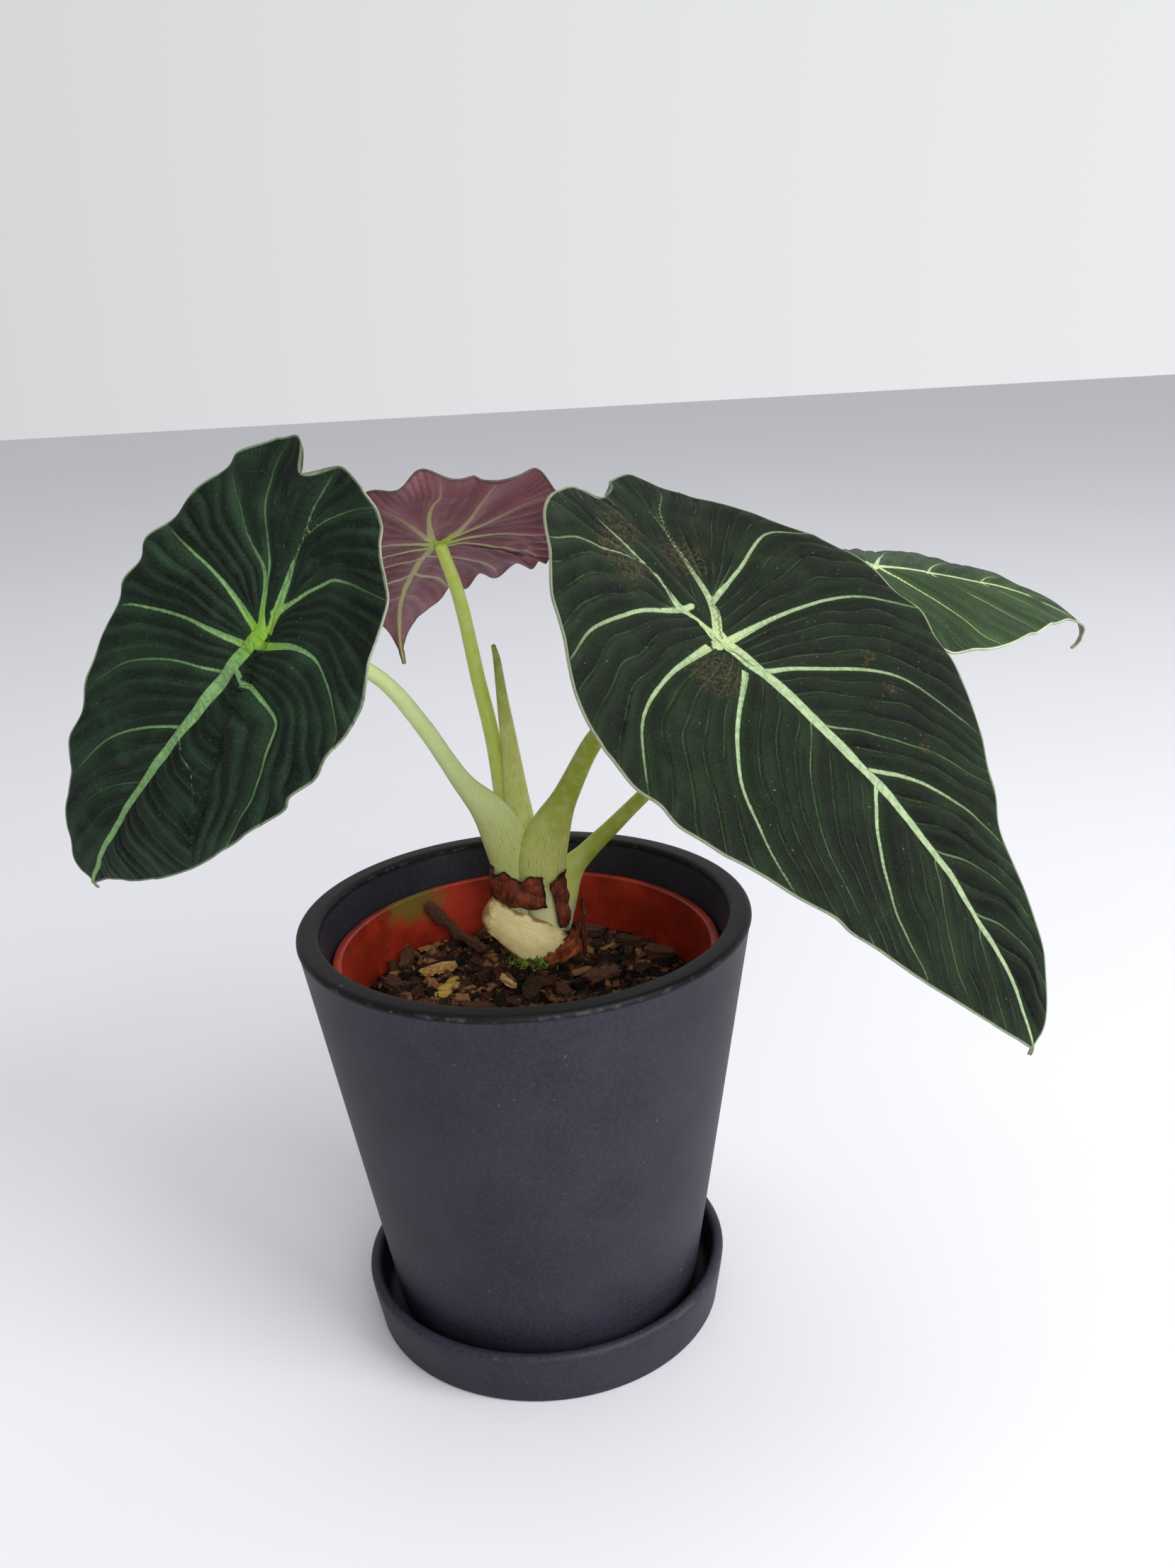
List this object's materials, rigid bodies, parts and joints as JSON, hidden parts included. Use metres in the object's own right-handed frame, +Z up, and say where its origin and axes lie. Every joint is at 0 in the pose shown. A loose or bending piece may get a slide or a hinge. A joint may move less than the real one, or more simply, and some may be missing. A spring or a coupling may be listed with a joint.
{
  "type": "potted alocasia",
  "caption": "Velvet-leaved alocasia with open leaves and a furled new leaf, in bark mix in a plastic pot, inside a matte planter on its saucer.",
  "frame": {"origin": "centre of the saucer's underside, on the surface that the plant stands on, on the axis of the pots", "axes": "+Z up along the pots' axis, +X to the right across the row of leaves, +Y to the back"},
  "size_m": [0.3355, 0.1868, 0.285],
  "materials": {
    "charcoal_ceramic": "matte charcoal glaze, lighter where the rim is worn",
    "red_plastic": "thin terracotta-red plastic with an algae stain",
    "potting_mix": "dark damp bark mix",
    "rhizome_skin": "rusty brown leaf-scar skin",
    "stalk": "pale yellow-green, satin, finely streaked",
    "new_leaf": "yellow-green furled leaf with a brown point",
    "velvet_leaf": "near-black velvet green above with pale veins, burgundy below",
    "far_leaf": "mid green with pale veins and margin",
    "cream_sheath": "cream papery sheath with fine parallel veins",
    "brown_husk": "crumpled dark brown dry husk",
    "rust_husk": "rusty dry husk",
    "moss": "green moss",
    "dry_leaf": "yellow-olive dry leaf flake",
    "pale_wood": "tan splintered wood",
    "bark": "dark rough bark"
  },
  "bodies": {
    "root": {"saucer": "charcoal_ceramic", "planter": "charcoal_ceramic", "nursery_pot": "red_plastic", "potting_mix": "potting_mix", "rhizome": "rhizome_skin", "petiole_right": "stalk", "petiole_left": "stalk", "petiole_far": "stalk", "petiole_back": "stalk", "new_leaf": "new_leaf", "blade_left": "velvet_leaf", "blade_right": "velvet_leaf", "blade_back": "velvet_leaf", "blade_far": "far_leaf", "peeled_sheath": "cream_sheath", "husk_collar": "brown_husk", "husk_flap": "brown_husk", "husk_strip_1": "brown_husk", "husk_base": "rust_husk", "husk_strip_2": "rust_husk", "moss": "moss", "leaf_flake": "dry_leaf", "wood_chunk": "pale_wood", "wood_splinter_1": "pale_wood", "wood_splinter_2": "pale_wood", "twig": "bark", "bark_chip_1": "bark", "bark_chip_2": "bark", "bark_chip_3": "bark", "bark_chip_4": "bark", "bark_chip_5": "bark", "bark_chip_6": "bark", "bark_chip_7": "bark", "bark_chip_8": "bark", "bark_chip_9": "bark", "bark_chip_10": "bark", "bark_chip_11": "bark", "bark_chip_12": "bark", "bark_chip_13": "bark", "bark_chip_14": "bark", "bark_chip_15": "bark", "bark_chip_16": "bark"}
  },
  "joints": []
}
